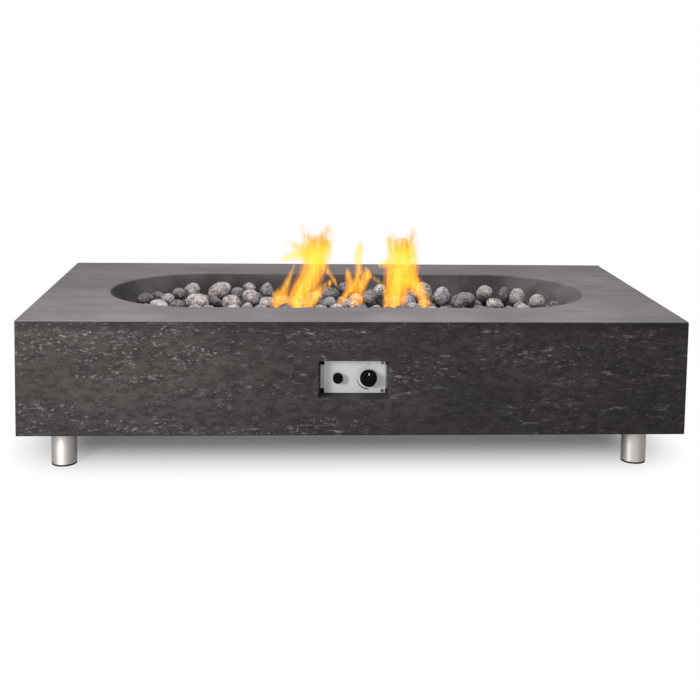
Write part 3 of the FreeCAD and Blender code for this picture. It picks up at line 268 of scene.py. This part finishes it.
streaks = add(tree, "Math", (streaks, along(tree, "X", -0.6, 0.2, 0.5, 1.0)), **TIMES)
chips = cloud(tree, 6.5, (0.58, 0.7), stretch=(0.6, 0.6, 1.1), shift=(0, 5, 9), roughness=0.6)
chips = add(tree, "Math", (chips, along(tree, "X", -0.3, 0.3, 0.9, 0.5)), **TIMES)
pale_stone = add(tree, "Math", (streaks, chips), **LARGEST)
wall_tone = layered(
    tree, hex_colour("43403e"),
    ("524d4b", cloud(tree, 222, (0.32, 0.68), stretch=(0.8, 1, 2.2), detail=5)),
    ("231f1e", cloud(tree, 15, (0.6, 0.38), (0.0, 0.68), stretch=(0.7, 0.7, 1.4), detail=6, roughness=0.72)),
    ("272423", add(tree, "MapRange", (grain, 0.3, 0.7, 0.3, 0.0), **SMOOTH)),
    ("8d8988", pale_stone, clusters),
    ("211f1f", cloud(tree, 4.2, (0.38, 0.28), stretch=(1, 1, 1.3), shift=(2, 8, 4), detail=2), 0.6),
    ("242021", along(tree, "Z", TABLE_TOP - 0.032, TABLE_TOP - 0.008),
     cloud(tree, 143, (0.3, 0.6), shift=(0, 2, 0), detail=4), 0.65),
    # painted shade: the walls darken a little towards the bottom, where less light reaches them
    ("242021", along(tree, "Z", TABLE_TOP - 0.14, TABLE_TOP - 0.23, 0.0, 0.2)))
# Upright faces take the walls' tones and faces turned up take the top's. The walls are darker partly as painted
# shade, standing in for the lesser light that falls on upright faces.
facing_up = add(tree, "SeparateXYZ", (add(tree, "NewGeometry", give="Normal"),), give="Z")
trowelled = add(tree, "MapRange", (facing_up, 0.12, 0.5), **SMOOTH)
casting_marks = add(tree, "MapRange", (trowelled, 0.0, 1.0, 1.0, 0.12), **SMOOTH)
casting_marks = add(tree, "Math", (casting_marks, cloud(tree, 7.7, detail=5, roughness=0.65)), **TIMES)
surface(tree, {"Base Color": add(tree, "Mix", (trowelled, wall_tone, smooth_tone), **COLOURS),
               "Roughness": 0.72, "Specular IOR Level": 0.18}, (grain, 0.1), (casting_marks, 1.4))
put_on(concrete, "concrete_casing")

# Legs. Four tubes of satin stainless steel under galvanised flanges, each on a thin black
# rubber pad; zinc-plated bolts go up through the flanges into inserts in the concrete.
LEGS = ("front_left", "front_right", "back_left", "back_right")
SPREAD_LIGHT_TURN = 0.25


def metal(name, colour, roughness, marks_mm, depth_mm=0.03, spread=0.1, brushed=0.0, metallic=1.0):
    """Bright metal whose marks have a size along each axis: long where a brush ran, even where it didn't.
    Real brush lines and turning marks are under 0.1 mm, so they are drawn as coarse as they need to show."""
    material, tree = new_finish(name)
    marks = cloud(tree, 1, stretch=tuple(1 / size for size in marks_mm), detail=4, roughness=0.6)
    light = hex_colour(colour)
    dark = tuple(part * 0.82 for part in light[:3]) + (1,)
    wear = add(tree, "Math", (cloud(tree, 56), 0.5), **TIMES)
    wear = add(tree, "Math", (marks, wear), operation="ADD")
    least, most = roughness - spread / 2, roughness + spread / 2
    surface(tree, {"Base Color": add(tree, "Mix", (marks, dark, light), **COLOURS), "Metallic": metallic,
                   "Roughness": add(tree, "MapRange", (wear, 0.3, 1.1, least, most), **SMOOTH),
                   "Anisotropic": brushed, "Anisotropic Rotation": SPREAD_LIGHT_TURN}, (marks, depth_mm))
    return material


# Satin stainless steel, brushed round the tube: a broad soft band of light down each leg.
satin_steel = metal("satin_steel", "dcd8d5", 0.57, (6, 6, 0.4), brushed=0.6)
put_on(satin_steel, *(f"leg_tube_{leg}" for leg in LEGS))
# Hot-dip galvanised steel: a dull grey with even patches, rougher in some than in others.
galvanised = metal("galvanised_steel", "9fa19f", 0.5, (6, 6, 6), depth_mm=0.08, spread=0.2)
put_on(galvanised, *(f"leg_flange_{leg}" for leg in LEGS), "control_bracket")
# Zinc-plated steel: paler and brighter than the galvanised, with a fine even grain.
zinc = metal("zinc_plate", "b7b8b5", 0.38, (2.4, 2.4, 2.4))
put_on(zinc, "leg_bolts", "leg_inserts")


def soft_black(name, colour, roughness, grain_mm, depth_mm, gloss=0.3):
    """Black rubber, plastic or powder coat with a little dust. The grain is drawn coarser than the real one."""
    material, tree = new_finish(name)
    dust = cloud(tree, 17, (0.45, 0.8), detail=4)
    dusty = tuple(part * 1.6 + 0.002 for part in hex_colour(colour)[:3]) + (1,)
    duller = add(tree, "MapRange", (dust, 0.0, 1.0, roughness, roughness + 0.15), **SMOOTH)
    surface(tree, {"Base Color": layered(tree, hex_colour(colour), (dusty, dust)), "Roughness": duller,
                   "Specular IOR Level": gloss}, (cloud(tree, grain_mm, detail=2), depth_mm))
    return material


# Moulded rubber: a dull near-black rim under each leg.
pad_rubber = soft_black("pad_rubber", "1b1b1c", 0.7, 1.4, 0.06)
put_on(pad_rubber, *(f"foot_pad_{leg}" for leg in LEGS))

# Burner. A stainless pan set in the bowl's floor, with a welded H of perforated tube that the
# flames have tinted straw and blue, and brass and zinc fittings that hang below the pan.

# Rolled stainless sheet: long fine lines across the pan, and a soft mirror of the stones.
pan_steel = metal("pan_steel", "bcbdbf", 0.34, (40, 1.1, 1.1))
put_on(pan_steel, "burner_pan", "probe_clips")
# Stainless tube that has been hot: straw patches with some blue, and no clean shine left.
burner_steel, tree = new_finish("heat_tinted_steel")
straw = cloud(tree, 45, (0.32, 0.68), stretch=(0.6, 1, 1), detail=4)
blue = cloud(tree, 33, (0.6, 0.75), shift=(4, 4, 0))
surface(tree, {"Base Color": layered(tree, hex_colour("8e8a84"), ("8a6f4c", straw), ("4f5566", blue)),
               "Metallic": 1.0, "Roughness": 0.42}, (cloud(tree, 2), 0.05))
put_on(burner_steel, "h_burner", "burner_end_caps", "burner_feet", "electrode_rod", "thermocouple_probe")
put_on(zinc, "burner_nipple", "burner_locknut")
# Turned brass: yellow, bright and smooth.
brass = metal("turned_brass", "c2a15a", 0.3, (1.4, 1.4, 1.4))
put_on(brass, "air_mixer", "orifice_elbow", "hose_nuts")
# Glazed porcelain: a smooth gloss over cream white, with brown patches of soot.
porcelain, tree = new_finish("electrode_porcelain")
sooty = cloud(tree, 11, (0.5, 0.72), detail=4)
surface(tree, {"Base Color": layered(tree, hex_colour("e9e5dc"), ("b3a998", sooty)), "Roughness": 0.25})
put_on(porcelain, "electrode_ceramic")

# Lava stones. Tumbled volcanic stones heaped in the bowl, egg-shaped with worn flats and fine
# pits; most are pale and slightly pink, some mid grey, and a few dark grey. The photograph shows
# which of those on top are dark or pink, given here by their places.
DARK_STONES = [(-0.520, 0.050), (-0.493, 0.100), (-0.346, 0.062), (-0.285, 0.110), (-0.432, 0.0),
               (-0.041, 0.110), (0.310, 0.050), (0.428, 0.140), (0.533, 0.005), (-0.440, 0.092)]
PINK_STONES = [(0.211, 0.136), (0.373, 0.128), (0.375, 0.020), (-0.385, 0.022), (-0.334, 0.138),
               (-0.297, 0.015), (-0.256, 0.148), (-0.408, 0.130), (0.456, 0.098), (0.499, 0.045)]
STONE_TONES = {"pale": "e4dedf", "pink": "ddd3d2", "grey": "c3bebe", "dark": "8e8a8a"}
AT_THE_SPOT = 0.008
# stones that reach above this level show, and get a finer mesh
LEVEL_THAT_SHOWS = 0.315
# how many worn flats a stone has, how far they are ground, and how much fuller it is made for them
FLATS, GROUND, FULLER = 6, 0.7, 1.05


def lumps_of(node):
    """The separate ellipsoids of a CAD node: centre, long axes and half widths of each."""
    shape = bmesh.new()
    shape.from_mesh(node.data)
    bmesh.ops.remove_doubles(shape, verts=shape.verts, dist=1e-6)
    shape.verts.ensure_lookup_table()
    seen = [False] * len(shape.verts)
    for start in shape.verts:
        if seen[start.index]:
            continue
        seen[start.index] = True
        found, waiting = [], [start]
        while waiting:
            vertex = waiting.pop()
            found.append(vertex.co[:])
            for edge in vertex.link_edges:
                other = edge.other_vert(vertex)
                if not seen[other.index]:
                    seen[other.index] = True
                    waiting.append(other)
        points = np.array(found)
        centre = (points.max(axis=0) + points.min(axis=0)) / 2
        axes = np.linalg.svd(points - centre, full_matrices=False)[2]
        yield Vector(centre), axes, np.abs((points - centre) @ axes.T).max(axis=0)
    shape.free()


def near(place, spots):
    """Whether a stone lies at one of the spots."""
    return any(math.hypot(place.x - x, place.y - y) < AT_THE_SPOT for x, y in spots)


def worn(way, seed, flats):
    """How far a stone's skin lies from its centre one way, by its half width: lumps, less the worn flats."""
    length = 1.01 + 0.11 * noise.noise(way * 1.3 + seed) + 0.045 * noise.noise(way * 3.6 + seed)
    for flat, limit in flats:
        past = way.dot(flat) * length
        if past > limit:
            length -= GROUND * (past - limit) / way.dot(flat)
    return length


# Vesicular basalt, tumbled: dry and without gloss, each stone of its own grey, with dark open
# pits, pale flecks, and shade between the stones. Its pits, mostly 1 mm, are drawn at 3.3 mm.
stone_finish, tree = new_finish("lava_stone")
own_tone = add(tree, "Attribute", give="Color", attribute_name="tone")
mottled = cloud(tree, 10.5, (0.35, 0.7), detail=4, roughness=0.6)
mottled = layered(tree, hex_colour("a6a1a1"), ("ffffff", mottled))
own_tone = add(tree, "Mix", (0.6, own_tone, mottled), blend_type="MULTIPLY", **COLOURS)
pits = cloud(tree, 3.3, (0.5, 0.42), shift=(4, 4, 4), roughness=0.65)
pitted = cloud(tree, 22, (0.36, 0.56), (0.3, 1.0), shift=(1, 2, 3), detail=2)
pits = add(tree, "Math", (pits, pitted), **TIMES)
stone_colour = layered(tree, own_tone, ("f0ebe8", cloud(tree, 2.4, (0.54, 0.66), detail=2), 0.4),
                       ("433e3e", pits, 0.9), ("2b2827", along(tree, "Z", 0.272, 0.316, 0.8, 0.0)))
pit_depth = add(tree, "MapRange", (pits, 0.0, 1.0, 1.0, 0.0), **SMOOTH)
surface(tree, {"Base Color": stone_colour, "Roughness": 0.88, "Specular IOR Level": 0.3},
        (cloud(tree, 4.8, detail=4, roughness=0.65), 2), (pit_depth, 1.6))

tumble = random.Random(4)
for size_name in ("large", "medium", "small"):
    heap = bmesh.new()
    tones = heap.verts.layers.float_color.new("tone")
    for centre, axes, halves in lumps_of(nodes[f"lava_stones_{size_name}"]):
        shows = centre.z + min(halves) > LEVEL_THAT_SHOWS
        made = bmesh.ops.create_icosphere(heap, subdivisions=4 if shows else 3, radius=1)["verts"]
        flats = [(Vector([tumble.gauss(0, 1) for _ in range(3)]).normalized(), tumble.uniform(0.84, 0.97))
                 for _ in range(FLATS)]
        seed = Vector([tumble.uniform(0, 50) for _ in range(3)])
        if near(centre, DARK_STONES):
            kind = "dark"
        elif near(centre, PINK_STONES):
            kind = "pink"
        else:
            kind = tumble.choice(("pale", "pale", "pink", "grey", "grey", "dark"))
        shade = tumble.uniform(0.85, 1.1)
        colour = tuple(part * shade for part in hex_colour(STONE_TONES[kind])[:3]) + (1,)
        tilt = Matrix(axes).transposed()
        for vertex in made:
            way = vertex.co.normalized()
            length = worn(way, seed, flats) * FULLER
            vertex.co = centre + tilt @ Vector([way[i] * halves[i] * length for i in range(3)])
            vertex[tones] = colour
    for face in heap.faces:
        face.smooth = True
    stones = place_mesh(f"tumbled_stones_{size_name}", heap, stone_finish)
    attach(stones, "table_body")
    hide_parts(f"lava_stones_{size_name}")

# Control plate. Brushed stainless sheet over a galvanised bracket, with a printed dial round
# the knob: dots from off to full flame, then a band that thickens down to the low flame.

# Brushed stainless sheet: level lines and an even pale grey that hardly mirrors the recess.
plate_steel = metal("brushed_plate", "e6e6e5", 0.45, (33, 1.1, 0.7), depth_mm=0.02, brushed=0.6,
                    metallic=0.4)
put_on(plate_steel, "control_plate")
put_on(zinc, "bracket_screws")
# Steel screws, darker than the plate: a grey darker than their steel, as painted shade round their heads, so
# that they read as dots in its corners.
put_on(metal("screw_steel", "7f7e7c", 0.3, (1.4, 1.4, 1.4)), "plate_screws")
# Moulded nylon: dark grey and half matt. Powder-coated steel: black, pebbled and matt; the shield is this black
# as painted shade, a dark sheet in the window's shaded corners.
put_on(soft_black("anchor_nylon", "2a2a2c", 0.5, 2, 0.03), "bracket_anchors")
put_on(soft_black("shade_black_powder_coat", "101011", 0.75, 1.1, 0.04), "valve_shield")
# Screen-printed ink: flat black with a slight unevenness and no relief.
ink, tree = new_finish("printed_ink")
surface(tree, {"Base Color": layered(tree, hex_colour("17171a"), ("2b2b2f", cloud(tree, 1.25, detail=2))),
               "Roughness": 0.5})

joints = frame["record"]["behaviour"]["joints"]
knob_axis = next(joint["pos_m"] for joint in joints if joint["name"] == "valve_turn")
PLATE_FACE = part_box("control_plate")[0][1]
INK_PROUD = 0.00006
DIAL_RING = 0.0262
DOT_RADIUS, DOTS = 0.0007, 12
FIRST_DOT, DOT_STEP = 8, 7
BAND_START, BAND_SWEEP, BAND_STEPS = 92, 90, 30
BAND_THIN, BAND_GROWTH, BAND_SHAPE = 0.0002, 0.0014, 0.7
DIGIT_HEIGHT = 0.0052
# digit, turn round the dial in degrees and radius in metres
DIGITS = (("0", 0, 0.0305), ("2", 90, 0.0315), ("1", 180, 0.0315))


def on_dial(radius, turn):
    """A point of the dial: turn in degrees counter-clockwise from 12 o'clock."""
    angle = math.radians(turn)
    return Vector((knob_axis[0] - radius * math.sin(angle), PLATE_FACE - INK_PROUD,
                   knob_axis[2] + radius * math.cos(angle)))


upright = Matrix.Rotation(math.pi / 2, 4, "X")
print_mesh = bmesh.new()
band = []
for stop in range(BAND_STEPS + 1):
    turn = BAND_START + BAND_SWEEP * stop / BAND_STEPS
    half = BAND_THIN + BAND_GROWTH * (stop / BAND_STEPS) ** BAND_SHAPE
    band.append([print_mesh.verts.new(on_dial(DIAL_RING + side * half, turn)) for side in (1, -1)])
for before, after in zip(band, band[1:]):
    print_mesh.faces.new((before[0], before[1], after[1], after[0]))
for dot in range(DOTS):
    at = Matrix.Translation(on_dial(DIAL_RING, FIRST_DOT + DOT_STEP * dot)) @ upright
    bmesh.ops.create_circle(print_mesh, cap_ends=True, segments=10, radius=DOT_RADIUS, matrix=at)
marks = place_mesh("dial_print", print_mesh, ink)
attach(marks, "table_body")
for digit, turn, radius in DIGITS:
    figure = bpy.data.curves.new(f"dial_figure_{digit}", "FONT")
    figure.body = digit
    figure.size = DIGIT_HEIGHT
    figure.align_x, figure.align_y = "CENTER", "CENTER"
    lettered = bpy.data.objects.new(f"dial_figure_{digit}", figure)
    scene.collection.objects.link(lettered)
    flat = bpy.data.meshes.new_from_object(lettered)
    bpy.data.objects.remove(lettered)
    flat.transform(Matrix.Translation(on_dial(radius, turn)) @ upright)
    flat.materials.clear()
    flat.materials.append(ink)
    number = bpy.data.objects.new(f"dial_number_{digit}", flat)
    scene.collection.objects.link(number)
    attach(number, "table_body")

# Gas valve and its lines. Brass block and fittings behind the bracket, a steel stem with its
# spring, a black rubber hose to the burner and a thin copper thermocouple lead.
put_on(brass, "valve_body", "valve_bonnet", "valve_plug", "gas_inlet_fitting", "valve_outlet_fitting",
       "thermocouple_nut", "igniter_terminals")
put_on(zinc, "valve_screws", "valve_stem")
# Extruded rubber: dull black with a faint skin.
put_on(soft_black("hose_rubber", "242426", 0.6, 1.1, 0.08), "burner_hose")
# Drawn copper: reddish, bright and a little clouded.
put_on(metal("drawn_copper", "b87a52", 0.35, (1.7, 1.7, 1.7)), "thermocouple_lead")
# Cold-drawn spring wire: a clean grey shine along each turn.
spring_steel = metal("spring_steel", "a9aaac", 0.3, (1.1, 1.1, 1.1))
STEPS_IN_A_TURN = 24


def wind_spring(node, body, wire, turns):
    """A coil of round wire in a CAD spring's place."""
    low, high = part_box(node)
    middle = (low + high) / 2
    length = high.y - low.y
    steps = STEPS_IN_A_TURN * turns
    coil = bmesh.new()
    ring = bmesh.ops.create_circle(coil, cap_ends=True, segments=12, radius=wire / 2)["verts"]
    bmesh.ops.translate(coil, verts=ring, vec=(high.x - wire / 2, high.y - wire / 2, middle.z))
    bmesh.ops.spin(coil, geom=coil.verts[:] + coil.edges[:] + coil.faces[:], cent=middle, axis=(0, 1, 0),
                   dvec=(0, (wire - length) / steps, 0), angle=math.tau * turns, steps=steps)
    bmesh.ops.recalc_face_normals(coil, faces=coil.faces)
    for face in coil.faces:
        face.smooth = True
    spring = place_mesh(f"wound_{node}", coil, spring_steel)
    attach(spring, body)
    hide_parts(node)
    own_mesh(spring)


wind_spring("stem_spring", "valve_rotor", wire=0.0012, turns=4)

# Knob. Moulded black plastic with a fluted grip over a plain skirt, and a white pointer that
# is pressed into its face at 12 o'clock when the gas is off.

# Moulded plastic: a deep, almost matt black, in which the flutes show only by a thin light.
knob_black = soft_black("knob_plastic", "060607", 0.55, 0.7, 0.03, gloss=0.06)
put_on(knob_black, "knob")
# Moulded white plastic: the one light mark on the knob.
pointer_white, tree = new_finish("pointer_white")
surface(tree, {"Base Color": layered(tree, hex_colour("f2f2ef"), ("dcdcd8", cloud(tree, 2, detail=2))),
               "Roughness": 0.5})
put_on(pointer_white, "knob_pointer")

# Igniter. A push button of black plastic on a threaded barrel, with a battery, its contact
# spring and two brass blades behind, and a red insulated wire to the electrode.
put_on(knob_black, "igniter_button", "igniter_barrel", "igniter_locknut")
wind_spring("igniter_spring", "table_body", wire=0.0008, turns=5)
# Printed film round a dry cell: half glossy, dark grey, with a copper-coloured front end.
battery_case, tree = new_finish("battery_case")
dark_part = along(tree, "Y", -0.322, -0.321)
surface(tree, {"Base Color": layered(tree, hex_colour("b08a3e"), ("2c2f33", dark_part)), "Roughness": 0.4},
        (cloud(tree, 1.4, detail=2), 0.02))
put_on(battery_case, "igniter_battery")
# Silicone wire insulation: soft red, darker in places.
wire_red, tree = new_finish("wire_insulation")
surface(tree, {"Base Color": layered(tree, hex_colour("a63026"), ("842319", cloud(tree, 8.3))),
               "Roughness": 0.45}, (cloud(tree, 1.1, detail=2), 0.03))
put_on(wire_red, "ignition_wire")

# Flames. Tongues of burning gas over the stones, seen only by the camera: a part of the studio
# picture, not of the table. Each is a closed tube along a spine, in three shells that get
# brighter inwards, filled with a glowing volume that thins out and tears towards its top.
LOW_GAS, HIGH_GAS = (0.9, 0.74, 0.55, 1), (0.93, 0.68, 0.3, 1)
TIP_GLOW = (1, 0.46, 0.1, 1)
# levels in metres between which the gas thins out, and its glow at the first and at the second
THINS_OUT, GLOW, DENSITY = (0.42, 0.52), (46.0, 5.0), 100.0


def burning_gas(name, colour, thickness):
    """A glowing volume that is this colour near the stones and a thin pale orange high up."""
    gas, tree = new_finish(name)
    thin = along(tree, "Z", *THINS_OUT)
    torn = cloud(tree, 13, stretch=(1, 1, 0.2), distortion=1.2)
    torn = add(tree, "Math", (torn, add(tree, "Math", (thin, 0.07), **TIMES)), operation="SUBTRACT")
    filled = add(tree, "MapRange", (torn, 0.38, 0.62, 0.0, 1.4 * thickness), **SMOOTH)
    fading = add(tree, "MapRange", (thin, 0.0, 1.0, 1.0, 0.6), **SMOOTH)
    filled = add(tree, "Math", (filled, fading), **TIMES)
    glow = add(tree, "MapRange", (thin, 0.0, 1.0, *GLOW), **SMOOTH)
    shine = add(tree, "Emission", {"Color": add(tree, "Mix", (thin, colour, TIP_GLOW), **COLOURS),
                                   "Strength": add(tree, "Math", (filled, glow), **TIMES)})
    dims = add(tree, "VolumeAbsorption", {"Color": add(tree, "Mix", (thin, LOW_GAS, HIGH_GAS), **COLOURS),
                                          "Density": add(tree, "Math", (filled, DENSITY), **TIMES)})
    add(tree, "OutputMaterial", {"Volume": add(tree, "AddShader", (shine, dims))})
    return gas


# each shell's gas, and its width by the spine's own
SHELLS = [(burning_gas("flame_edge", (1, 0.36, 0.03, 1), 0.28), 1.25),
          (burning_gas("flame_body", (1, 0.5, 0.06, 1), 0.65), 0.95),
          (burning_gas("flame_core", (1, 0.68, 0.15, 1), 0.9), 0.5)]
# the tongues sway to the front and back by this much, each in a phase of its own
SWAY = 0.016
# each spine runs from the stones up: across, level and half width in millimetres
TONGUES = [
    [(-174, 300, 20), (-177, 327, 20), (-164, 347, 13), (-148, 385, 6), (-138, 411, 4)],
    [(-138, 300, 26), (-120, 340, 28), (-99, 372, 27), (-84, 404, 30), (-84, 433, 36), (-80, 465, 34),
     (-76, 482, 22)],
    [(-88, 440, 18), (-98, 470, 20), (-108, 490, 14), (-120, 512, 4)],
    [(-72, 440, 22), (-62, 470, 24), (-55, 495, 18), (-47, 514, 6)],
    [(-29, 356, 3), (-36, 372, 6), (-58, 400, 8), (-90, 428, 11), (-122, 436, 13), (-154, 430, 11),
     (-177, 418, 7), (-199, 411, 2)],
    [(-105, 446, 15), (-128, 458, 14), (-146, 466, 9), (-164, 475, 4)],
    [(-103, 300, 12), (-87, 327, 14), (-71, 350, 12), (-52, 366, 8), (-33, 379, 4)],
    [(-33, 302, 9), (-14, 327, 10), (5, 347, 10), (18, 366, 12), (27, 385, 11), (26, 411, 9),
     (24, 433, 10), (28, 459, 10), (31, 478, 4)],
    [(24, 300, 16), (24, 331, 16), (31, 359, 15), (44, 379, 12), (47, 398, 11), (40, 408, 4)],
    [(5, 347, 10), (2, 372, 11), (-1, 395, 8), (-4, 403, 3)],
    [(40, 385, 10), (63, 379, 7), (85, 363, 6), (98, 347, 4)],
    [(120, 300, 26), (123, 334, 27), (127, 372, 32), (134, 404, 38), (136, 427, 38), (132, 456, 28),
     (130, 478, 18)],
    [(124, 440, 20), (112, 466, 18), (104, 490, 12), (96, 510, 4)],
    [(146, 440, 22), (154, 468, 20), (158, 492, 14), (163, 512, 5)],
    [(150, 384, 22), (174, 359, 19), (190, 334, 15), (203, 302, 15)],
    [(107, 417, 12), (88, 414, 12), (76, 411, 8)],
    [(95, 347, 5), (98, 321, 6), (91, 302, 6)],
]
for number, spine in enumerate(TONGUES):
    for gas, swell in SHELLS:
        curve = bpy.data.curves.new("flame", "CURVE")
        curve.dimensions = "3D"
        # a bevel of 1 mm, so that a point's radius is its half width in millimetres
        curve.bevel_depth = 0.001
        curve.bevel_resolution = 5
        curve.use_fill_caps = True
        run = curve.splines.new("NURBS")
        run.points.add(len(spine) - 1)
        run.use_endpoint_u = True
        run.order_u = 3
        for point, (across, height_mm, half) in zip(run.points, spine):
            back = SWAY * math.sin(number * 2.1 + height_mm * 0.03)
            point.co = (across / 1000, back, height_mm / 1000, 1)
            point.radius = half * swell
        drawn = bpy.data.objects.new("flame_curve", curve)
        scene.collection.objects.link(drawn)
        bpy.context.view_layer.update()
        tube = bpy.data.meshes.new_from_object(drawn)
        bpy.data.objects.remove(drawn)
        tube.materials.clear()
        tube.materials.append(gas)
        flame = bpy.data.objects.new(f"flame_{number + 1}_{gas.name.removeprefix('flame_')}", tube)
        scene.collection.objects.link(flame)
        flame.visible_diffuse = flame.visible_glossy = flame.visible_shadow = False
